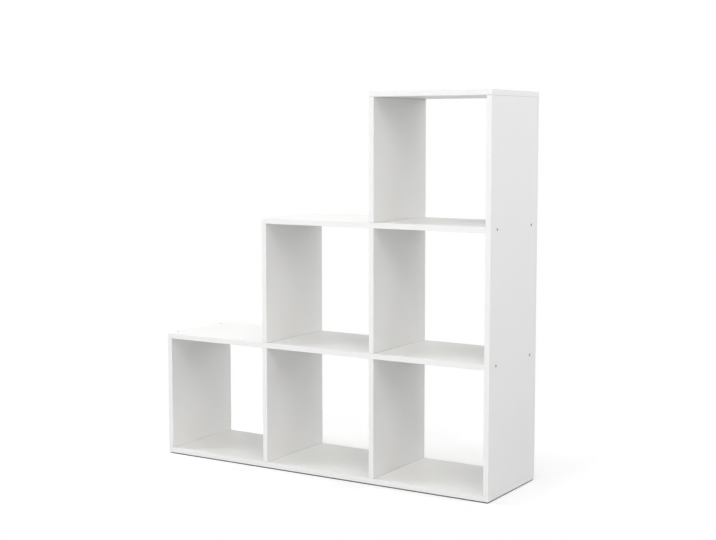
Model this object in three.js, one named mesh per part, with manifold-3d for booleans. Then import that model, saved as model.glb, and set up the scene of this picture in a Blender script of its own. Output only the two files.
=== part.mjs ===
import * as THREE from 'three';
import { mergeVertices } from 'three/addons/utils/BufferGeometryUtils.js';
import Module from 'manifold-3d';

// A staircase bookshelf of coated boards: six open cells, three in the bottom row and one in the top row.
// Lengths are in millimetres. Places are measured from the left front corner of the footprint, on the
// floor: x runs along the width to the tall end, y runs from the front to the back, and z runs up.
// Upright lines are counted from the left. The last line is the side panel at the tall end.

// Boards
const boardThickness = 15;
const boardDepth = 290;
const edgeRound = 0.6;
const cornerRound = 0.8;

// Clear width of each column of cells
const leftColumnWidth = 336;
const centreColumnWidth = 343;
const rightColumnWidth = 336;

// Clear height of each row of cells
const bottomRowHeight = 334;
const middleRowHeight = 343;
const topRowHeight = 338;

// Connecting screws, each with a flat countersunk head, a smooth shoulder and a threaded shank
const screwLength = 50;
const screwHeadDiameter = 7;
const screwHeadRim = 0.3;
const screwShoulderDiameter = 5;
const screwShankDiameter = 4.4;
const screwTipLength = 3;
const screwEdgeInset = 40;
const screwHeadSink = 0.2;
const screwClearance = 0.3;

// Hexagon socket in each screw head
const socketAcrossFlats = 3;
const socketDepth = 2.4;

// Dowels under the uprights that stand on a shelf, each set beside a screw
const dowelDiameter = 8;
const dowelLength = 30;
const dowelDepthInShelf = 10;
const dowelChamfer = 0.8;
const dowelToScrew = 32;
const dowelClearance = 0.3;
const dowelEndClearance = 1;

// Glides under the bottom board, each a moulded foot with a peg pressed into the board
const glideHeight = 3;
const glideDiameter = 18;
const glideRound = 0.8;
const glidePegDiameter = 5;
const glidePegLength = 9;
const glidePegTaper = 0.8;
const glideEdgeInset = 20;
const glideEndInset = 20;
const glideClearance = 0.3;

// How far a cutter stands out of the face that it enters, and the fineness of the round pieces
const cutterOverrun = 2;
const roundSegments = 12;
const edgeSegments = 2;
const cornerSegments = 2;

const rowNames = ['bottom', 'middle', 'top'];
const lineNames = ['left', 'centre', 'right', 'side'];
const shelfNames = ['bottom_board', 'lower_shelf', 'upper_shelf', 'top_board'];
const columnWidths = [leftColumnWidth, centreColumnWidth, rightColumnWidth];
const rowHeights = [bottomRowHeight, middleRowHeight, topRowHeight];

const up = new THREE.Vector3(0, 0, 1);
const down = new THREE.Vector3(0, 0, -1);
const leftward = new THREE.Vector3(-1, 0, 0);

const wasm = await Module();
wasm.setup();

// Near faces of boards that follow one another with the given clear gaps between them
function boardPlaces(start, gaps) {
  const places = [start];
  for (const gap of gaps) {
    places.push(places.at(-1) + boardThickness + gap);
  }
  return places;
}

const lineX = boardPlaces(0, columnWidths);
const shelfZ = boardPlaces(glideHeight, rowHeights);
const lastLine = lineX.length - 1;
const lastShelf = shelfZ.length - 1;
const overallWidth = lineX[lastLine] + boardThickness;
const lineCentreX = lineX.map((x) => x + boardThickness / 2);
const shelfCentreZ = shelfZ.map((z) => z + boardThickness / 2);
const screwY = { front: screwEdgeInset, rear: boardDepth - screwEdgeInset };
const dowelY = { front: screwY.front + dowelToScrew, rear: screwY.rear - dowelToScrew };
const glideY = { front: glideEdgeInset, rear: boardDepth - glideEdgeInset };

const boardFinish = new THREE.MeshStandardMaterial({ color: 0xf2f2ef, roughness: 0.42, metalness: 0 });
const screwFinish = new THREE.MeshStandardMaterial({ color: 0x8d8f93, roughness: 0.35, metalness: 0.9 });
const dowelFinish = new THREE.MeshStandardMaterial({ color: 0xd8b98c, roughness: 0.8, metalness: 0 });
const glideFinish = new THREE.MeshStandardMaterial({ color: 0xdededb, roughness: 0.55, metalness: 0 });

// Closed solid of a geometry: its shared vertices are merged and its collapsed triangles left out
function toSolid(geometry) {
  const bare = geometry.clone();
  bare.deleteAttribute('normal');
  bare.deleteAttribute('uv');
  const merged = mergeVertices(bare);
  const corners = merged.index.array;
  const kept = [];
  for (let i = 0; i < corners.length; i += 3) {
    const [a, b, c] = corners.slice(i, i + 3);
    if (a !== b && b !== c && c !== a) {
      kept.push(a, b, c);
    }
  }
  const vertProperties = merged.attributes.position.array;
  return new wasm.Manifold(new wasm.Mesh({ numProp: 3, vertProperties, triVerts: new Uint32Array(kept) }));
}

// Faceted geometry of a solid
function toGeometry(solid) {
  const { vertProperties, triVerts } = solid.getMesh();
  const indexed = new THREE.BufferGeometry();
  indexed.setAttribute('position', new THREE.BufferAttribute(vertProperties, 3));
  indexed.setIndex(new THREE.BufferAttribute(triVerts, 1));
  const faceted = indexed.toNonIndexed();
  faceted.computeVertexNormals();
  return faceted;
}

// Solid of revolution about z, from radius and height pairs that start and end on the axis
function turned(profile) {
  const points = profile.map(([radius, height]) => new THREE.Vector2(radius, height));
  const geometry = new THREE.LatheGeometry(points, roundSegments);
  geometry.rotateX(Math.PI / 2);
  return toSolid(geometry);
}

// A board lying flat, centred on the origin, with its banded edges rounded into both faces
function boardSolid(length) {
  const cornerX = length / 2 - edgeRound - cornerRound;
  const cornerY = boardDepth / 2 - edgeRound - cornerRound;
  const corners = [[1, -1], [1, 1], [-1, 1], [-1, -1]];
  const outline = new THREE.Shape();
  corners.forEach(([sideX, sideY], turn) => {
    const start = (turn - 1) * Math.PI / 2;
    outline.absarc(sideX * cornerX, sideY * cornerY, cornerRound, start, start + Math.PI / 2, false);
  });
  outline.closePath();
  const flatThickness = boardThickness - 2 * edgeRound;
  const geometry = new THREE.ExtrudeGeometry(outline, {
    depth: flatThickness,
    curveSegments: cornerSegments,
    bevelThickness: edgeRound,
    bevelSize: edgeRound,
    bevelSegments: edgeSegments,
  });
  geometry.translate(0, 0, -flatThickness / 2);
  return toSolid(geometry);
}

// A connecting screw pointing down, with the top of its head at the origin
function screwSolid() {
  const headRadius = screwHeadDiameter / 2;
  const shoulderRadius = screwShoulderDiameter / 2;
  const shankRadius = screwShankDiameter / 2;
  const coneEnd = -screwHeadRim - (headRadius - shoulderRadius);
  const shoulderEnd = screwHeadSink - boardThickness;
  const body = turned([
    [0, -screwLength],
    [shankRadius, screwTipLength - screwLength],
    [shankRadius, shoulderEnd],
    [shoulderRadius, shoulderEnd],
    [shoulderRadius, coneEnd],
    [headRadius, -screwHeadRim],
    [headRadius, 0],
    [0, 0],
  ]);
  const socketHeight = socketDepth + cutterOverrun;
  const socketRadius = socketAcrossFlats / Math.sqrt(3);
  const socket = new THREE.CylinderGeometry(socketRadius, socketRadius, socketHeight, 6);
  socket.rotateX(Math.PI / 2);
  socket.translate(0, 0, socketHeight / 2 - socketDepth);
  return body.subtract(toSolid(socket));
}

// The stepped hole for a screw: countersink and clearance in one board, pilot hole in the other.
// The countersink goes on widening past the head's rim and out of the board's face.
function screwHoleSolid() {
  const headRadius = screwHeadDiameter / 2 + screwClearance;
  const mouth = screwHeadSink + cutterOverrun;
  const mouthRadius = headRadius + screwHeadRim + mouth;
  const shoulderRadius = screwShoulderDiameter / 2 + screwClearance;
  const shankRadius = screwShankDiameter / 2 + screwClearance;
  const coneEnd = -screwHeadRim - (headRadius - shoulderRadius);
  const shoulderEnd = screwHeadSink - boardThickness - screwClearance;
  const holeEnd = -screwLength - screwClearance;
  return turned([
    [0, holeEnd],
    [shankRadius, holeEnd],
    [shankRadius, shoulderEnd],
    [shoulderRadius, shoulderEnd],
    [shoulderRadius, coneEnd],
    [mouthRadius, mouth],
    [0, mouth],
  ]);
}

// A dowel standing on end, with the origin where the upright meets the shelf
function dowelSolid() {
  const radius = dowelDiameter / 2;
  const low = -dowelDepthInShelf;
  const high = dowelLength - dowelDepthInShelf;
  return turned([
    [0, low],
    [radius - dowelChamfer, low],
    [radius, low + dowelChamfer],
    [radius, high - dowelChamfer],
    [radius - dowelChamfer, high],
    [0, high],
  ]);
}

// The hole for a dowel, through the meeting of the shelf and the upright
function dowelHoleSolid() {
  const radius = dowelDiameter / 2 + dowelClearance;
  const low = -dowelDepthInShelf - dowelEndClearance;
  const high = dowelLength - dowelDepthInShelf + dowelEndClearance;
  return turned([[0, low], [radius, low], [radius, high], [0, high]]);
}

// A glide standing on the floor at the origin, with its peg up
function glideSolid() {
  const radius = glideDiameter / 2;
  const pegRadius = glidePegDiameter / 2;
  const pegTop = glideHeight + glidePegLength;
  const halfway = glideRound * (1 - Math.SQRT1_2);
  return turned([
    [0, 0],
    [radius - glideRound, 0],
    [radius - halfway, halfway],
    [radius, glideRound],
    [radius, glideHeight],
    [pegRadius, glideHeight],
    [pegRadius, pegTop - glidePegTaper],
    [pegRadius - glidePegTaper, pegTop],
    [0, pegTop],
  ]);
}

// The hole for a glide's peg, from the underside of the bottom board
function pegHoleSolid() {
  const radius = glidePegDiameter / 2 + glideClearance;
  const top = glideHeight + glidePegLength + glideClearance;
  const mouth = glideHeight - cutterOverrun;
  return turned([[0, mouth], [radius, mouth], [radius, top], [0, top]]);
}

const shelf = new THREE.Group();
shelf.position.set(-overallWidth / 2, -boardDepth / 2, 0);

const boards = new Map();

// Adds a board with its centre at x and z. A turned board stands upright, with its length along z.
function addBoard(name, length, x, z, turn) {
  const mesh = new THREE.Mesh(undefined, boardFinish.clone());
  mesh.name = name;
  mesh.position.set(x, boardDepth / 2, z);
  mesh.rotation.y = turn;
  mesh.updateMatrix();
  boards.set(name, { mesh, solid: boardSolid(length) });
  shelf.add(mesh);
}

// Adds a fastener that points along a direction, and cuts its hole out of the boards that it joins
function addFastener(name, solid, hole, finish, place, direction, joined) {
  const mesh = new THREE.Mesh(toGeometry(solid), finish.clone());
  mesh.name = name;
  mesh.position.copy(place);
  mesh.quaternion.setFromUnitVectors(down, direction);
  mesh.updateMatrix();
  for (const boardName of joined) {
    const board = boards.get(boardName);
    const toBoard = board.mesh.matrix.clone().invert().multiply(mesh.matrix);
    board.solid = board.solid.subtract(toSolid(toGeometry(hole).applyMatrix4(toBoard)));
  }
  shelf.add(mesh);
}

function uprightName(line, row) {
  return line === lastLine ? 'side_panel' : `upright_${lineNames[line]}_${rowNames[row]}`;
}

// The lying boards: each starts at the upright line where its step begins, and the two shelves
// between the bottom board and the top board end at the side panel.
function addLyingBoards() {
  shelfNames.forEach((name, level) => {
    const start = lineX[Math.max(level - 1, 0)];
    const isShelf = level > 0 && level < lastShelf;
    const end = isShelf ? lineX[lastLine] : overallWidth;
    addBoard(name, end - start, (start + end) / 2, shelfCentreZ[level], 0);
  });
}

// The standing boards: short uprights between the lying boards, and the side panel in one piece
function addStandingBoards() {
  for (let line = 0; line < lastLine; line += 1) {
    for (let row = 0; row <= line; row += 1) {
      const middle = shelfZ[row] + boardThickness + rowHeights[row] / 2;
      addBoard(uprightName(line, row), rowHeights[row], lineCentreX[line], middle, -Math.PI / 2);
    }
  }
  const panelFoot = shelfZ[0] + boardThickness;
  const panelHead = shelfZ[lastShelf];
  const panelMiddle = (panelFoot + panelHead) / 2;
  addBoard('side_panel', panelHead - panelFoot, lineCentreX[lastLine], panelMiddle, -Math.PI / 2);
}

// Screws up through the bottom board into everything that stands on it
function addScrewsFromBeneath(screw, hole) {
  lineCentreX.forEach((x, line) => {
    for (const [end, y] of Object.entries(screwY)) {
      const place = new THREE.Vector3(x, y, shelfZ[0] + screwHeadSink);
      const joined = ['bottom_board', uprightName(line, 0)];
      addFastener(`screw_bottom_board_${lineNames[line]}_${end}`, screw, hole, screwFinish, place, up, joined);
    }
  });
}

// Screws down through the shelves and the top board into the uprights below. The side panel passes
// the shelves, so only the top board is screwed to its end.
function addScrewsFromAbove(screw, hole) {
  for (let level = 1; level <= lastShelf; level += 1) {
    const lineEnd = level === lastShelf ? lastLine : lastLine - 1;
    for (let line = level - 1; line <= lineEnd; line += 1) {
      for (const [end, y] of Object.entries(screwY)) {
        const face = shelfZ[level] + boardThickness;
        const place = new THREE.Vector3(lineCentreX[line], y, face - screwHeadSink);
        const joined = [shelfNames[level], uprightName(line, level - 1)];
        const name = `screw_${shelfNames[level]}_${lineNames[line]}_${end}`;
        addFastener(name, screw, hole, screwFinish, place, down, joined);
      }
    }
  }
}

// Screws through the side panel into the ends of the two shelves
function addScrewsFromSide(screw, hole) {
  for (let level = 1; level < lastShelf; level += 1) {
    for (const [end, y] of Object.entries(screwY)) {
      const place = new THREE.Vector3(overallWidth - screwHeadSink, y, shelfCentreZ[level]);
      const joined = ['side_panel', shelfNames[level]];
      const name = `screw_side_panel_${shelfNames[level]}_${end}`;
      addFastener(name, screw, hole, screwFinish, place, leftward, joined);
    }
  }
}

// Dowels under the uprights that stand on a shelf, where screw heads lie under the upright's end
function addDowels(dowel, hole) {
  for (let line = 1; line < lastLine; line += 1) {
    for (let row = 1; row <= line; row += 1) {
      for (const [end, y] of Object.entries(dowelY)) {
        const place = new THREE.Vector3(lineCentreX[line], y, shelfZ[row] + boardThickness);
        const joined = [shelfNames[row], uprightName(line, row)];
        const name = `dowel_${uprightName(line, row)}_${end}`;
        addFastener(name, dowel, hole, dowelFinish, place, down, joined);
      }
    }
  }
}

// Glides under the upright lines, drawn in from the two ends of the bottom board
function addGlides(glide, hole) {
  const glideX = [...lineCentreX];
  glideX[0] = glideEndInset;
  glideX[lastLine] = overallWidth - glideEndInset;
  glideX.forEach((x, line) => {
    for (const [end, y] of Object.entries(glideY)) {
      const place = new THREE.Vector3(x, y, 0);
      addFastener(`glide_${lineNames[line]}_${end}`, glide, hole, glideFinish, place, down, ['bottom_board']);
    }
  });
}

addLyingBoards();
addStandingBoards();
const screw = screwSolid();
const screwHole = screwHoleSolid();
addScrewsFromBeneath(screw, screwHole);
addScrewsFromAbove(screw, screwHole);
addScrewsFromSide(screw, screwHole);
addDowels(dowelSolid(), dowelHoleSolid());
addGlides(glideSolid(), pegHoleSolid());
for (const { mesh, solid } of boards.values()) {
  mesh.geometry = toGeometry(solid);
}

export default shelf;
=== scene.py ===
import math

import bpy
from mathutils import Euler, Matrix, Vector


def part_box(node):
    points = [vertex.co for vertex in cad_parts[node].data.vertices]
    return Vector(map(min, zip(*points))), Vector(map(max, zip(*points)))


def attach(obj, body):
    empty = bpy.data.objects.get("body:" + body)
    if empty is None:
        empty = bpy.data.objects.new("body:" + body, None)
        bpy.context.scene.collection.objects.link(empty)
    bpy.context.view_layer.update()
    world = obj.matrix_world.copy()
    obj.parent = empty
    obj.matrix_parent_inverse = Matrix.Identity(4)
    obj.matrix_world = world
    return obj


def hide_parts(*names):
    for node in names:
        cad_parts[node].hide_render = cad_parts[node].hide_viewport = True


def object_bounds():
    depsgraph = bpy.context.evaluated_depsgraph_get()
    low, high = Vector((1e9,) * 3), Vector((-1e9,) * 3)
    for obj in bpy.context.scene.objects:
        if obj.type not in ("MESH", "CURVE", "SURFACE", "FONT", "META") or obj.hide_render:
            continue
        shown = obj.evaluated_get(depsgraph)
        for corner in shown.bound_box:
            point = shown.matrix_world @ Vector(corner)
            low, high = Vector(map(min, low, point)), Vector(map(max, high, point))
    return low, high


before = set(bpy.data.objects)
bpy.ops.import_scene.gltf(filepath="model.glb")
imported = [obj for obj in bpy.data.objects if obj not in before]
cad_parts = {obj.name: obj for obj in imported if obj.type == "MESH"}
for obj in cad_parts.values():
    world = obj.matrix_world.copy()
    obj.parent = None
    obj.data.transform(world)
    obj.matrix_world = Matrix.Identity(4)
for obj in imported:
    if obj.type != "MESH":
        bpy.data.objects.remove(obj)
cad_low, cad_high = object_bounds()

# Sizes are in metres unless a name says otherwise. +X is the tall end, -Y the front, and +Z up.
MM = 0.001
BODY = "root"

# Boards
EDGE_ROUND = 0.6 * MM
GLUE_LINE = 0.15 * MM
HOLE_DEPTH = 0.5 * MM
HOLE_SOFTNESS = 0.05 * MM
LYING_BOARDS = ("bottom_board", "lower_shelf", "upper_shelf", "top_board")
SHELVES_AGAINST_PANEL = ("lower_shelf", "upper_shelf")

# Connecting screws
HEAD_EDGE_ROUND = 0.12 * MM
HEAD_EDGE_MIDDLE_SHARE = 0.3
HEAD_RIM = 0.3 * MM
SHOULDER_RADIUS = 2.5 * MM
SHOULDER_END = 14.8 * MM
SOCKET_ACROSS_FLATS = 3.0 * MM
SOCKET_DEPTH = 2.4 * MM
SOCKET_CHAMFER = 0.15 * MM
SOCKET_POINT = 0.6 * MM
THREAD_PITCH = 2.4 * MM
THREAD_CORE_RADIUS = 1.75 * MM
THREAD_CREST_RADIUS = 2.42 * MM
THREAD_FLANK_SHARE = 0.30
THREAD_STEPS_PER_TURN = 8
THREAD_RUN_OUT = 2.0 * MM
TIP_LENGTH = 3.0 * MM
TIP_CORE_SHARE = 0.35
SCREW_SIDES = 48
SCREW_TURN_RADIANS = 0.7

# Dowels
DOWEL_FLUTES = 18
FLUTE_DEPTH = 0.22 * MM
DOWEL_CHAMFER = 0.8 * MM
DOWEL_SIDES = 72

# Glides
GLIDE_HEIGHT = 3.0 * MM
GLIDE_FOOT_ROUND = 0.8 * MM
GLIDE_TOP_ROUND = 0.3 * MM
GLIDE_PEG_RADIUS = 2.5 * MM
GLIDE_PEG_TAPER = 0.8 * MM
GLIDE_SIDES = 64
ROUND_STEPS = 5

# Noise textures on a millimetre grid: scale, detail and roughness
PEARL = (1.1, 3.0, 0.55)
SOFT_WAVES = (0.11, 2.0, 0.5)
CLOUD = (0.012, 3.0, 0.5)
STREAKS = (1.0, 3.0, 0.6)
RUBBING = (0.03, 4.0, 0.7)
STEEL_BLOOM = (0.5, 4.0, 0.65)
STEEL_GRAIN = (5.0, 2.0, 0.5)
BEECH_GRAIN = (0.9, 4.0, 0.6)
BEECH_FLECKS = (2.6, 2.0, 0.5)
GLIDE_STIPPLE = (3.0, 2.0, 0.5)
GLIDE_SCUFFS = (0.8, 4.0, 0.7)

# Board finish, where a pair holds what the least and the most of a texture give
FACE_DARK = (0.876, 0.872, 0.861, 1.0)
FACE_LIGHT = (0.888, 0.884, 0.873, 1.0)
FACE_SPECK = (0.850, 0.846, 0.834, 1.0)
FACE_SPECK_SHARE = 0.25
FACE_WAVE_SHARE = 0.6
FACE_ROUGHNESS = (0.34, 0.50)
BAND_DARK = (0.886, 0.882, 0.872, 1.0)
BAND_LIGHT = (0.896, 0.892, 0.882, 1.0)
BAND_ROUGHNESS = (0.32, 0.44)
BAND_STRETCH = 1.6
BAND_STRETCH_ALONG = 0.02
GLUE_COLOUR = (0.55, 0.53, 0.49, 1.0)
GLUE_STRENGTH = 0.3
RUBBED_COLOUR = (0.68, 0.67, 0.64, 1.0)
RUBBED_FROM_TO = (0.55, 0.75)
RUBBED_STRENGTH = 0.08
CHIP_DARK = (0.21, 0.13, 0.065, 1.0)
CHIP_LIGHT = (0.50, 0.36, 0.20, 1.0)
CHIP_SCALE = 0.75
CHIP_HEIGHT = 6.0
CHIP_ROUGHNESS = 0.9
BOARD_BUMP_STRENGTH = 0.35
BOARD_BUMP_DEPTH = 0.03 * MM
BOARD_SPECULAR = 0.5
PATTERN_SHIFT = Vector((613.0, 431.0, 277.0))

# How squarely a surface faces along an axis, 1 for square on: where each zone of a board starts and is full
FACE_FROM_TO = (0.80, 0.97)
EDGE_FROM_TO = (0.1, 0.4)
EDGE_END_FROM_TO = (0.9, 0.97)
RAW_FROM_TO = (0.96, 0.99)

# Painted shade in the seams and a soft painted shade in the corners, by the open share of the directions
# over a surface
OPENNESS_SAMPLES = 8
PAINTED_SEAM_SHADE_COLOUR = (0.16, 0.155, 0.145, 1.0)
SEAM_REACH = 1.6 * MM
TIGHT_SEAM_FROM_TO = (0.20, 0.78)
TIGHT_SEAM_STRENGTH = 0.30
TOP_SEAM_FROM_TO = (0.20, 0.98)
TOP_SEAM_STRENGTH = 1.0
CORNER_REACH = 7.0 * MM
CORNER_FROM_TO = (0.45, 1.0)
CORNER_STRENGTH = 0.07

# Fastener finishes
STEEL_DARK = (0.20, 0.20, 0.21, 1.0)
STEEL_LIGHT = (0.34, 0.33, 0.33, 1.0)
STEEL_ROUGHNESS = (0.28, 0.53)
STEEL_BUMP_STRENGTH = 0.3
STEEL_BUMP_DEPTH = 0.02 * MM
BEECH_DARK = (0.42, 0.26, 0.13, 1.0)
BEECH_LIGHT = (0.66, 0.46, 0.27, 1.0)
BEECH_STRETCH = Vector((1.0, 1.0, 0.08))
BEECH_FLECK_COLOUR = (0.27, 0.15, 0.07, 1.0)
BEECH_FLECK_FROM_TO = (0.60, 0.72)
BEECH_FLECK_STRENGTH = 0.5
BEECH_ROUGHNESS = (0.65, 0.80)
BEECH_BUMP_STRENGTH = 0.4
BEECH_BUMP_DEPTH = 0.05 * MM
GLIDE_DARK = (0.66, 0.66, 0.64, 1.0)
GLIDE_LIGHT = (0.72, 0.72, 0.70, 1.0)
GLIDE_WORN_COLOUR = (0.38, 0.36, 0.33, 1.0)
GLIDE_WORN_HEIGHT = 0.6 * MM
GLIDE_WORN_STRENGTH = 0.7
GLIDE_ROUGHNESS = (0.45, 0.65)
GLIDE_BUMP_STRENGTH = 0.3
GLIDE_BUMP_DEPTH = 0.03 * MM

# Floor
WHITE = (1.0, 1.0, 1.0, 1.0)
FLOOR_SIZE = 40.0
FLOOR_COLOUR = (0.50, 0.50, 0.50, 1.0)
FLOOR_SEEN_COLOUR = (0.80, 0.80, 0.80, 1.0)
FLOOR_SEEN_GLOW = 0.29
# Painted shadow: the seen floor is darker under the shelf's footprint
FLOOR_UNDER_SHADOW_COLOUR = (0.30, 0.30, 0.30, 1.0)
FLOOR_UNDER_SOFTNESS = 2.0 * MM
# Painted shadow on the floor: its glow is weaker near the shelf, shifted to the front and right, and behind
# the shelf
FLOOR_NEAR_LOSS = 0.19
FLOOR_NEAR_REACH = 80.0 * MM
FLOOR_NEAR_SHIFT = Vector((50.0 * MM, -60.0 * MM, 0.0))
FLOOR_REAR_LOSS = 0.20
FLOOR_REAR_START = 35.0 * MM
FLOOR_REAR_END = 275.0 * MM
FLOOR_FADE_REAR = Vector((0.0, 170.0 * MM, 0.0))
FLOOR_FADE_REACH = 130.0 * MM

# Lamps, all aimed at one point: name, place, width, height, power in watts, and colour
LAMP_TARGET = Vector((0.0, 0.0, 0.5))
NEUTRAL_LIGHT = (1.0, 1.0, 1.0)
COOL_LIGHT = (0.93, 0.945, 1.0)
WARM_LIGHT = (1.0, 0.99, 0.90)
LAMPS = (
    ("front", (0.0, -4.2, 1.3), 3.5, 2.2, 63.0, NEUTRAL_LIGHT),
    ("low_front_right", (1.6, -4.0, 0.8), 1.6, 1.4, 25.0, NEUTRAL_LIGHT),
    ("low_front_left", (-3.0, -3.0, 0.7), 2.2, 1.2, 23.0, COOL_LIGHT),
    ("high_front_right", (2.4, -2.4, 3.0), 2.0, 2.0, 38.0, NEUTRAL_LIGHT),
    ("right", (4.0, -0.5, 1.3), 2.5, 2.2, 31.0, NEUTRAL_LIGHT),
    ("high_right", (3.4, 0.8, 2.4), 1.6, 1.6, 31.0, COOL_LIGHT),
    ("rear_right", (1.6, 3.4, 2.2), 1.6, 1.6, 33.0, NEUTRAL_LIGHT),
    ("high_rear", (0.6, 3.2, 3.0), 1.4, 1.4, 32.0, WARM_LIGHT),
    ("high_left", (-2.8, -0.6, 2.8), 2.0, 2.5, 78.0, NEUTRAL_LIGHT),
    ("overhead", (0.0, -0.2, 2.4), 1.4, 1.4, 7.0, NEUTRAL_LIGHT),
    ("left", (-1.9, 0.1, 1.7), 0.8, 0.8, 5.5, COOL_LIGHT),
)

# Camera
CAMERA_PLACE = Vector((2.05844, -3.23766, 0.96522))
CAMERA_TURN = Euler((1.469271, 0.000227, 0.555880), "XYZ")
CAMERA_LENS_MM = 67.371
SENSOR_WIDTH_MM = 36.0


def nodes_called(start):
    """The names of the part's nodes that start alike, in order."""
    return [name for name in sorted(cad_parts) if name.startswith(start)]


def add_object(name, data):
    made = bpy.data.objects.new(name, data)
    bpy.context.scene.collection.objects.link(made)
    return made


def empty_tree(owner):
    """The cleared node tree of a material or a world."""
    owner.use_nodes = True
    owner.node_tree.nodes.clear()
    return owner.node_tree


def node(tree, kind, inputs=None, **settings):
    """A new shader node with its settings made and its inputs set or linked."""
    made = tree.nodes.new(kind)
    for name, value in settings.items():
        setattr(made, name, value)
    for name, value in (inputs or {}).items():
        if isinstance(value, bpy.types.NodeSocket):
            tree.links.new(value, made.inputs[name])
        else:
            made.inputs[name].default_value = value
    return made


def math_node(tree, operation, first, second=0.0, third=0.0):
    """The result of one arithmetic step, held to no range."""
    return node(tree, "ShaderNodeMath", {0: first, 1: second, 2: third}, operation=operation).outputs[0]


def product(tree, first, second):
    return math_node(tree, "MULTIPLY", first, second)


def rest_of(tree, share):
    """1 less the share."""
    return math_node(tree, "SUBTRACT", 1.0, share)


def between(tree, share, pair):
    """The value that lies at a share of the way through a pair."""
    low, high = pair
    return math_node(tree, "MULTIPLY_ADD", share, high - low, low)


def ramp(tree, value, from_to):
    """A smooth step that is 0 below the pair's first value and 1 above its second."""
    low, high = from_to
    inputs = {"Value": value, "From Min": low, "From Max": high}
    return node(tree, "ShaderNodeMapRange", inputs, interpolation_type="SMOOTHSTEP").outputs["Result"]


def blend(tree, share, first, second):
    return node(tree, "ShaderNodeMix", {0: share, 2: first, 3: second}).outputs[0]


def mix_colour(tree, share, first, second):
    return node(tree, "ShaderNodeMix", {0: share, 6: first, 7: second}, data_type="RGBA").outputs[2]


def vector_node(tree, operation, first, second=(0.0, 0.0, 0.0)):
    return node(tree, "ShaderNodeVectorMath", {0: first, 1: second}, operation=operation).outputs[0]


def parts_of(tree, vector):
    """The x, y and z of a vector."""
    return node(tree, "ShaderNodeSeparateXYZ", {0: vector}).outputs


def object_place(tree):
    """The place on the piece, in its own coordinates."""
    return node(tree, "ShaderNodeTexCoord").outputs["Object"]


def millimetre_grid(tree, place, stretch=Vector((1.0, 1.0, 1.0))):
    return vector_node(tree, "MULTIPLY", place, stretch / MM)


def noise(tree, place, texture):
    scale, detail, roughness = texture
    inputs = {"Vector": place, "Scale": scale, "Detail": detail, "Roughness": roughness}
    return node(tree, "ShaderNodeTexNoise", inputs).outputs["Fac"]


def new_material(name):
    material = bpy.data.materials.new(name)
    tree = empty_tree(material)
    shader = node(tree, "ShaderNodeBsdfPrincipled")
    output = node(tree, "ShaderNodeOutputMaterial")
    tree.links.new(shader.outputs[0], output.inputs["Surface"])
    return material, tree, shader


def set_look(tree, shader, colour, roughness, height, bump_strength, bump_depth):
    """Link the colour, the roughness and the bumps of a surface to its shader."""
    inputs = {"Height": height, "Strength": bump_strength, "Distance": bump_depth}
    bump = node(tree, "ShaderNodeBump", inputs)
    tree.links.new(colour, shader.inputs["Base Color"])
    tree.links.new(roughness, shader.inputs["Roughness"])
    tree.links.new(bump.outputs[0], shader.inputs["Normal"])


def openness(tree, reach):
    """The share of the directions over a surface in which nothing lies within reach."""
    inputs = {"Distance": reach}
    return node(tree, "ShaderNodeAmbientOcclusion", inputs, samples=OPENNESS_SAMPLES).outputs["AO"]


def closed_shade(tree, open_share, from_to, strength):
    """Painted shade where little is open, up to the strength."""
    return product(tree, rest_of(tree, ramp(tree, open_share, from_to)), strength)


def seam_shade(tree, place):
    """Painted shade in the seams, widest under the top board, and a soft painted shade in the corners."""
    beside_board = openness(tree, SEAM_REACH)
    tight = closed_shade(tree, beside_board, TIGHT_SEAM_FROM_TO, TIGHT_SEAM_STRENGTH)
    wide = closed_shade(tree, beside_board, TOP_SEAM_FROM_TO, TOP_SEAM_STRENGTH)
    top_seam_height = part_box("top_board")[0].z
    above_seam = math_node(tree, "SUBTRACT", parts_of(tree, place)[2], top_seam_height)
    from_seam = math_node(tree, "ABSOLUTE", above_seam)
    seam = blend(tree, ramp(tree, from_seam, (SEAM_REACH, 2 * SEAM_REACH)), wide, tight)
    corner = closed_shade(tree, openness(tree, CORNER_REACH), CORNER_FROM_TO, CORNER_STRENGTH)
    return math_node(tree, "MAXIMUM", seam, corner)


def depths_in_box(tree, place, low, high):
    """How deep a place lies within a box, along each axis."""
    from_middle = vector_node(tree, "SUBTRACT", place, (low + high) / 2)
    spread = vector_node(tree, "ABSOLUTE", from_middle)
    return parts_of(tree, vector_node(tree, "SUBTRACT", (high - low) / 2, spread))


def face_look(tree, grid):
    """A melamine face, fine as pearl and faintly uneven: its colour, roughness and height."""
    pearl = noise(tree, grid, PEARL)
    colour = mix_colour(tree, noise(tree, grid, CLOUD), FACE_DARK, FACE_LIGHT)
    colour = mix_colour(tree, product(tree, pearl, FACE_SPECK_SHARE), colour, FACE_SPECK)
    waves = noise(tree, grid, SOFT_WAVES)
    height = math_node(tree, "MULTIPLY_ADD", waves, FACE_WAVE_SHARE, pearl)
    return colour, between(tree, pearl, FACE_ROUGHNESS), height


def band_look(tree, grid, long_axis):
    """An edge band with streaks along it: its colour, roughness and height."""
    stretch = Vector((BAND_STRETCH, BAND_STRETCH, BAND_STRETCH))
    stretch[long_axis] = BAND_STRETCH_ALONG
    streaks = noise(tree, vector_node(tree, "MULTIPLY", grid, stretch), STREAKS)
    return mix_colour(tree, streaks, BAND_DARK, BAND_LIGHT), between(tree, streaks, BAND_ROUGHNESS), streaks


def chip_look(tree, grid):
    """Bare particle board, flat chips of several browns: its colour, roughness and height."""
    chips = node(tree, "ShaderNodeTexVoronoi", {"Vector": grid, "Scale": CHIP_SCALE})
    tone = node(tree, "ShaderNodeSeparateColor", {0: chips.outputs["Color"]}).outputs[0]
    return mix_colour(tree, tone, CHIP_DARK, CHIP_LIGHT), CHIP_ROUGHNESS, product(tree, tone, CHIP_HEIGHT)


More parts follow.
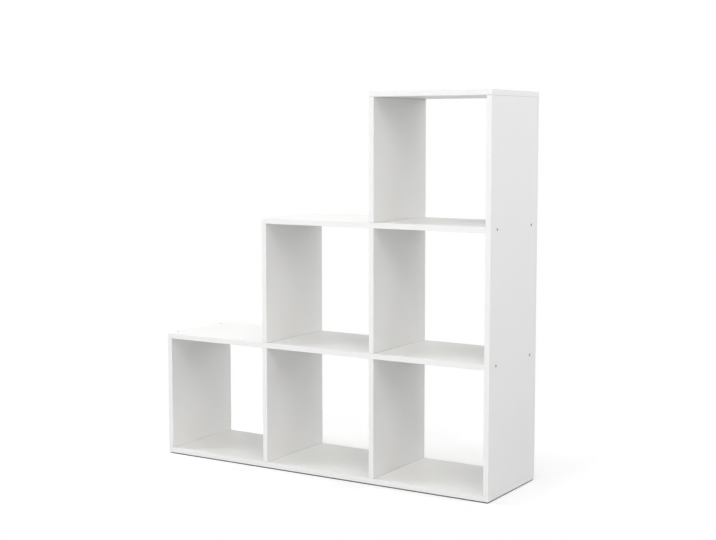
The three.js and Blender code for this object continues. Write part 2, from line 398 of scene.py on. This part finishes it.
def glue_share(tree, depth):
    """The thin line where the edge band ends in the face."""
    start = ramp(tree, depth, (EDGE_ROUND - GLUE_LINE, EDGE_ROUND))
    end = ramp(tree, depth, (EDGE_ROUND + GLUE_LINE / 2, EDGE_ROUND + GLUE_LINE))
    return product(tree, math_node(tree, "SUBTRACT", start, end), GLUE_STRENGTH)


def rubbed_share(tree, grid, depth, facing):
    """Slight rubbing in patches on the rounded edges."""
    patches = ramp(tree, noise(tree, grid, RUBBING), RUBBED_FROM_TO)
    beside_edge = rest_of(tree, ramp(tree, depth, (EDGE_ROUND / 2, EDGE_ROUND)))
    past_band = ramp(tree, facing, EDGE_FROM_TO)
    before_face = rest_of(tree, ramp(tree, facing, EDGE_END_FROM_TO))
    on_edge = product(tree, product(tree, beside_edge, past_band), before_face)
    return product(tree, product(tree, patches, on_edge), RUBBED_STRENGTH)


def raw_share(tree, depths, along, raw_ends):
    """Where bare particle board shows: in the holes and on the ends that stand against a board."""
    nearest = math_node(tree, "MINIMUM", math_node(tree, "MINIMUM", depths[0], depths[1]), depths[2])
    raw = ramp(tree, nearest, (HOLE_DEPTH - HOLE_SOFTNESS, HOLE_DEPTH + HOLE_SOFTNESS))
    for end_sign in raw_ends:
        raw = math_node(tree, "MAXIMUM", raw, ramp(tree, product(tree, along, end_sign), RAW_FROM_TO))
    return raw


def board_material(name, low, high, thin_axis, raw_ends, shift):
    """White melamine faces, smoother edge bands, and particle board in the holes and on the hidden ends."""
    material, tree, shader = new_material(name)
    coords = node(tree, "ShaderNodeTexCoord").outputs
    place = coords["Object"]
    normal = parts_of(tree, coords["Normal"])
    long_axis = 2 - thin_axis
    depths = depths_in_box(tree, place, low, high)
    from_band = math_node(tree, "MINIMUM", depths[1], depths[long_axis])
    facing = math_node(tree, "ABSOLUTE", normal[thin_axis])
    on_face = ramp(tree, facing, FACE_FROM_TO)
    raw = raw_share(tree, depths, normal[long_axis], raw_ends)

    # Each board has its own part of the pattern, so that none runs on across a joint
    grid = vector_node(tree, "ADD", millimetre_grid(tree, place), shift)
    face_colour, face_roughness, face_height = face_look(tree, grid)
    band_colour, band_roughness, band_height = band_look(tree, grid, long_axis)
    chip_colour, chip_roughness, chip_height = chip_look(tree, grid)

    colour = mix_colour(tree, on_face, band_colour, face_colour)
    colour = mix_colour(tree, glue_share(tree, from_band), colour, GLUE_COLOUR)
    colour = mix_colour(tree, rubbed_share(tree, grid, from_band, facing), colour, RUBBED_COLOUR)
    # Painted shade darkens the boards in their seams and corners, where little is open
    colour = mix_colour(tree, seam_shade(tree, place), colour, PAINTED_SEAM_SHADE_COLOUR)
    colour = mix_colour(tree, raw, colour, chip_colour)
    roughness = blend(tree, raw, blend(tree, on_face, band_roughness, face_roughness), chip_roughness)
    height = blend(tree, raw, blend(tree, on_face, band_height, face_height), chip_height)
    set_look(tree, shader, colour, roughness, height, BOARD_BUMP_STRENGTH, BOARD_BUMP_DEPTH)
    shader.inputs["Specular IOR Level"].default_value = BOARD_SPECULAR
    return material


def steel_material():
    """Zinc-plated steel, slightly dulled, with fine marks from turning and driving."""
    material, tree, shader = new_material("zinc_plated_steel")
    grid = millimetre_grid(tree, object_place(tree))
    bloom = noise(tree, grid, STEEL_BLOOM)
    grain = noise(tree, grid, STEEL_GRAIN)
    colour = mix_colour(tree, bloom, STEEL_DARK, STEEL_LIGHT)
    roughness = between(tree, bloom, STEEL_ROUGHNESS)
    set_look(tree, shader, colour, roughness, grain, STEEL_BUMP_STRENGTH, STEEL_BUMP_DEPTH)
    shader.inputs["Metallic"].default_value = 1.0
    return material


def beech_material():
    """Plain beech with its grain along the dowel and short dark flecks."""
    material, tree, shader = new_material("beech")
    grid = millimetre_grid(tree, object_place(tree), BEECH_STRETCH)
    grain = noise(tree, grid, BEECH_GRAIN)
    flecks = ramp(tree, noise(tree, grid, BEECH_FLECKS), BEECH_FLECK_FROM_TO)
    colour = mix_colour(tree, grain, BEECH_DARK, BEECH_LIGHT)
    colour = mix_colour(tree, product(tree, flecks, BEECH_FLECK_STRENGTH), colour, BEECH_FLECK_COLOUR)
    roughness = between(tree, grain, BEECH_ROUGHNESS)
    set_look(tree, shader, colour, roughness, grain, BEECH_BUMP_STRENGTH, BEECH_BUMP_DEPTH)
    return material


def glide_material():
    """Off-white moulded plastic, rubbed duller where it meets the floor."""
    material, tree, shader = new_material("moulded_plastic")
    place = object_place(tree)
    grid = millimetre_grid(tree, place)
    worn = rest_of(tree, ramp(tree, parts_of(tree, place)[2], (0.0, GLIDE_WORN_HEIGHT)))
    stipple = noise(tree, grid, GLIDE_STIPPLE)
    scuffs = product(tree, worn, noise(tree, grid, GLIDE_SCUFFS))
    colour = mix_colour(tree, stipple, GLIDE_DARK, GLIDE_LIGHT)
    colour = mix_colour(tree, product(tree, scuffs, GLIDE_WORN_STRENGTH), colour, GLIDE_WORN_COLOUR)
    roughness = between(tree, worn, GLIDE_ROUGHNESS)
    set_look(tree, shader, colour, roughness, stipple, GLIDE_BUMP_STRENGTH, GLIDE_BUMP_DEPTH)
    return material


def finish_boards():
    """Each board keeps its solid and gets a finish that knows its own edges."""
    board_names = [*LYING_BOARDS, "side_panel", *nodes_called("upright")]
    for index, name in enumerate(sorted(board_names)):
        low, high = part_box(name)
        if name in SHELVES_AGAINST_PANEL:
            thin_axis, raw_ends = 2, (1.0,)
        elif name in LYING_BOARDS:
            thin_axis, raw_ends = 2, ()
        else:
            thin_axis, raw_ends = 0, (1.0, -1.0)
        finish = board_material("white_" + name, low, high, thin_axis, raw_ends, PATTERN_SHIFT * index)
        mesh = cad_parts[name].data
        mesh.materials.clear()
        mesh.materials.append(finish)


def loft(name, rings, poles):
    """A closed mesh through rings of equal count, from the first pole's point to the last's."""
    first_pole, last_pole = poles
    sides = len(rings[0])
    points = [first_pole] + [point for ring in rings for point in ring] + [last_pole]
    last = len(points) - 1
    faces = []
    for i in range(sides):
        j = (i + 1) % sides
        faces.append((0, 1 + j, 1 + i))
        for ring in range(len(rings) - 1):
            base = 1 + ring * sides
            faces.append((base + i, base + j, base + sides + j, base + sides + i))
        base = 1 + (len(rings) - 1) * sides
        faces.append((base + i, base + j, last))
    mesh = bpy.data.meshes.new(name)
    mesh.from_pydata(points, [], faces)
    mesh.update()
    return mesh


def ring_of_points(reach_at, height, sides):
    """A level ring whose distance from the axis follows the angle."""
    ring = []
    for i in range(sides):
        angle = 2 * math.pi * i / sides
        reach = reach_at(angle)
        ring.append((reach * math.cos(angle), reach * math.sin(angle), height))
    return ring


def circle(radius, height, sides):
    return ring_of_points(lambda angle: radius, height, sides)


def hexagon(across_flats, height, sides):
    """A ring of points on a hexagon's outline."""
    def reach_at(angle):
        from_flat = (angle + math.pi / 6) % (math.pi / 3) - math.pi / 6
        return across_flats / 2 / math.cos(from_flat)

    return ring_of_points(reach_at, height, sides)


def thread_ring(height, length, sides):
    """A ring across the threaded shank, whose crest stands out at the angle that the helix has reached."""
    fade_in = min(1.0, (-SHOULDER_END - height) / THREAD_RUN_OUT)
    fade_out = min(1.0, (height + length) / TIP_LENGTH)
    core = THREAD_CORE_RADIUS * (TIP_CORE_SHARE + (1 - TIP_CORE_SHARE) * fade_out)
    crest = (THREAD_CREST_RADIUS - THREAD_CORE_RADIUS) * fade_in * fade_out

    def reach_at(angle):
        turn = (height / THREAD_PITCH - angle / (2 * math.pi)) % 1.0
        return core + crest * max(0.0, 1.0 - abs(turn - 0.5) / THREAD_FLANK_SHARE)

    return ring_of_points(reach_at, height, sides)


def screw_mesh(length, head_radius):
    """A connecting screw that points down, with the top of its head at the origin."""
    sides = SCREW_SIDES
    cone_end = -HEAD_RIM - (head_radius - SHOULDER_RADIUS)
    edge_middle = HEAD_EDGE_ROUND * HEAD_EDGE_MIDDLE_SHARE
    rings = [
        hexagon(SOCKET_ACROSS_FLATS, -SOCKET_DEPTH, sides),
        hexagon(SOCKET_ACROSS_FLATS, -SOCKET_CHAMFER, sides),
        circle(SOCKET_ACROSS_FLATS / math.sqrt(3) + SOCKET_CHAMFER, 0.0, sides),
        circle(head_radius - HEAD_EDGE_ROUND, 0.0, sides),
        circle(head_radius - edge_middle, -edge_middle, sides),
        circle(head_radius, -HEAD_EDGE_ROUND, sides),
        circle(head_radius, -HEAD_RIM, sides),
        circle(SHOULDER_RADIUS, cone_end, sides),
        circle(SHOULDER_RADIUS, -SHOULDER_END, sides),
    ]
    step = THREAD_PITCH / THREAD_STEPS_PER_TURN
    for i in range(1, int((length - SHOULDER_END) / step)):
        rings.append(thread_ring(-SHOULDER_END - i * step, length, sides))
    poles = ((0.0, 0.0, -SOCKET_DEPTH - SOCKET_POINT), (0.0, 0.0, -length))
    return loft("connecting_screw", rings, poles)


def fluted_ring(radius, height):
    """A ring of a dowel, with a groove where each flute runs."""
    def reach_at(angle):
        return radius - FLUTE_DEPTH * ((1 + math.cos(angle * DOWEL_FLUTES)) / 2) ** 2

    return ring_of_points(reach_at, height, DOWEL_SIDES)


def dowel_mesh(length, radius):
    """A fluted dowel along z, centred on the origin."""
    half = length / 2
    rings = [
        fluted_ring(radius - DOWEL_CHAMFER, half),
        fluted_ring(radius, half - DOWEL_CHAMFER),
        fluted_ring(radius, DOWEL_CHAMFER - half),
        fluted_ring(radius - DOWEL_CHAMFER, -half),
    ]
    return loft("fluted_dowel", rings, ((0.0, 0.0, half), (0.0, 0.0, -half)))


def glide_mesh(height, radius):
    """A moulded glide standing on the floor at the origin, with its peg up."""
    sides = GLIDE_SIDES
    rings = [
        circle(GLIDE_PEG_RADIUS - GLIDE_PEG_TAPER, height, sides),
        circle(GLIDE_PEG_RADIUS, height - GLIDE_PEG_TAPER, sides),
        circle(GLIDE_PEG_RADIUS, GLIDE_HEIGHT, sides),
        circle(radius - GLIDE_TOP_ROUND, GLIDE_HEIGHT, sides),
        circle(radius, GLIDE_HEIGHT - GLIDE_TOP_ROUND, sides),
    ]
    for i in range(ROUND_STEPS + 1):
        angle = math.pi / 2 * i / ROUND_STEPS
        reach = radius - GLIDE_FOOT_ROUND * (1 - math.cos(angle))
        rings.append(circle(reach, GLIDE_FOOT_ROUND * (1 - math.sin(angle)), sides))
    return loft("moulded_glide", rings, ((0.0, 0.0, height), (0.0, 0.0, 0.0)))


def height_and_radius(name):
    """The size of an upright round node."""
    low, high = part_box(name)
    return high.z - low.z, (high.x - low.x) / 2


def place_copy(mesh, name, matrix):
    """One copy of a fastener's mesh, standing for the node of that name."""
    piece = add_object(name + "_detailed", mesh)
    piece.matrix_world = matrix
    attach(piece, BODY)
    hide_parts(name)


def screw_matrix(name):
    """The place of a screw's head and the way it points, from the box of its node."""
    low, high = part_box(name)
    middle = (low + high) / 2
    if name.startswith("screw_bottom_board"):
        return Matrix.Translation((middle.x, middle.y, low.z)) @ Matrix.Rotation(math.pi, 4, "X")
    if name.startswith("screw_side_panel"):
        return Matrix.Translation((high.x, middle.y, middle.z)) @ Matrix.Rotation(math.pi / 2, 4, "Y")
    return Matrix.Translation((middle.x, middle.y, high.z))


def dress_screws():
    screw = screw_mesh(*height_and_radius("screw_top_board_side_front"))
    screw.materials.append(steel_material())
    for index, name in enumerate(nodes_called("screw")):
        turn = Matrix.Rotation(index * SCREW_TURN_RADIANS, 4, "Z")
        place_copy(screw, name, screw_matrix(name) @ turn)


def dress_dowels():
    names = nodes_called("dowel")
    dowel = dowel_mesh(*height_and_radius(names[0]))
    dowel.materials.append(beech_material())
    for name in names:
        low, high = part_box(name)
        place_copy(dowel, name, Matrix.Translation((low + high) / 2))


def dress_glides():
    names = nodes_called("glide")
    glide = glide_mesh(*height_and_radius(names[0]))
    glide.materials.append(glide_material())
    for name in names:
        low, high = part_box(name)
        middle = (low + high) / 2
        place_copy(glide, name, Matrix.Translation((middle.x, middle.y, low.z)))


def seen_directly(tree):
    """1 for camera rays and for what metal and glass show, 0 for the light that reaches a surface."""
    rays = node(tree, "ShaderNodeLightPath").outputs
    seen = math_node(tree, "MAXIMUM", rays["Is Camera Ray"], rays["Is Glossy Ray"])
    return math_node(tree, "MAXIMUM", seen, rays["Is Transmission Ray"])


def distance_from_box(tree, place, middle, half):
    """How far a place on the floor is from an upright box's footprint, or 0 inside it."""
    spread = vector_node(tree, "ABSOLUTE", vector_node(tree, "SUBTRACT", place, (middle.x, middle.y, 0.0)))
    past = vector_node(tree, "MAXIMUM", vector_node(tree, "SUBTRACT", spread, (half.x, half.y, 0.0)))
    return node(tree, "ShaderNodeVectorMath", {0: past}, operation="LENGTH").outputs["Value"]


def floor_glow(tree, place, outside):
    """The floor's glow, with painted shadow where it is weaker right beside the shelf and behind it, and
    none under it.
    """
    middle = (cad_low + cad_high) / 2
    half = (cad_high - cad_low) / 2
    shifted = distance_from_box(tree, place, middle + FLOOR_NEAR_SHIFT, half)
    near = rest_of(tree, ramp(tree, shifted, (0.0, FLOOR_NEAR_REACH)))
    rear_from_to = (cad_high.y + FLOOR_REAR_START, cad_high.y + FLOOR_REAR_END)
    behind = ramp(tree, parts_of(tree, place)[1], rear_from_to)
    near_gain = between(tree, near, (1.0, 1.0 - FLOOR_NEAR_LOSS))
    rear_gain = between(tree, behind, (1.0, 1.0 - FLOOR_REAR_LOSS))
    gain = product(tree, product(tree, near_gain, rear_gain), outside)
    return node(tree, "ShaderNodeEmission", {"Strength": product(tree, gain, FLOOR_SEEN_GLOW)}).outputs[0]


def floor_material():
    """White where it is seen far from the shelf, pale with the shadow and a painted shadow near it, and matt
    for the light.
    """
    material = bpy.data.materials.new("pale_floor")
    tree = empty_tree(material)
    place = object_place(tree)
    middle = (cad_low + cad_high) / 2
    half = (cad_high - cad_low) / 2
    edge = Vector((FLOOR_UNDER_SOFTNESS, FLOOR_UNDER_SOFTNESS, 0.0))
    from_footprint = distance_from_box(tree, place, middle, half - edge)
    outside = ramp(tree, from_footprint, (0.0, FLOOR_UNDER_SOFTNESS))
    away = distance_from_box(tree, place, middle + FLOOR_FADE_REAR, half + FLOOR_FADE_REAR)
    far = ramp(tree, away, (0.0, FLOOR_FADE_REACH))

    # Painted shadow under the shelf: the seen floor is darker inside its footprint
    seen_colour = mix_colour(tree, outside, FLOOR_UNDER_SHADOW_COLOUR, FLOOR_SEEN_COLOUR)
    shadowed = node(tree, "ShaderNodeBsdfDiffuse", {"Color": seen_colour}).outputs[0]
    glow = floor_glow(tree, place, outside)
    near_floor = node(tree, "ShaderNodeAddShader", {0: shadowed, 1: glow}).outputs[0]
    white = node(tree, "ShaderNodeEmission", {"Color": WHITE, "Strength": 1.0}).outputs[0]
    seen_floor = node(tree, "ShaderNodeMixShader", {0: far, 1: near_floor, 2: white}).outputs[0]
    lit = node(tree, "ShaderNodeBsdfDiffuse", {"Color": FLOOR_COLOUR}).outputs[0]
    both = node(tree, "ShaderNodeMixShader", {0: seen_directly(tree), 1: lit, 2: seen_floor})
    output = node(tree, "ShaderNodeOutputMaterial")
    tree.links.new(both.outputs[0], output.inputs["Surface"])
    return material


def make_floor():
    """A pale floor that shows white, keeps the shadow with painted shadow added near the shelf, and sends
    light back up.
    """
    mesh = bpy.data.meshes.new("floor")
    end = FLOOR_SIZE / 2
    mesh.from_pydata([(-end, -end, 0), (end, -end, 0), (end, end, 0), (-end, end, 0)], [], [(0, 1, 2, 3)])
    mesh.materials.append(floor_material())
    floor = add_object("floor", mesh)


def make_sky():
    """A white surround that is only seen: all the light on the object comes from the lamps and the floor."""
    world = bpy.data.worlds.new("studio")
    bpy.context.scene.world = world
    tree = empty_tree(world)
    sky = node(tree, "ShaderNodeBackground", {"Color": WHITE, "Strength": seen_directly(tree)})
    output = node(tree, "ShaderNodeOutputWorld")
    tree.links.new(sky.outputs[0], output.inputs["Surface"])


def make_lamps():
    for name, place, width, height, power, colour in LAMPS:
        data = bpy.data.lights.new(name, "AREA")
        data.shape = "RECTANGLE"
        data.size = width
        data.size_y = height
        data.energy = power
        data.color = colour
        lamp = add_object(name, data)
        lamp.location = place
        lamp.rotation_euler = (LAMP_TARGET - Vector(place)).to_track_quat("-Z", "Y").to_euler()
        lamp.visible_camera = False
        lamp.visible_glossy = False


def make_camera():
    data = bpy.data.cameras.new("camera")
    data.sensor_width = SENSOR_WIDTH_MM
    data.lens = CAMERA_LENS_MM
    camera = add_object("camera", data)
    camera.location = CAMERA_PLACE
    camera.rotation_euler = CAMERA_TURN
    bpy.context.scene.camera = camera


finish_boards()
dress_screws()
dress_dowels()
dress_glides()
make_floor()
make_sky()
make_lamps()
make_camera()
bpy.context.scene.view_settings.view_transform = "Standard"
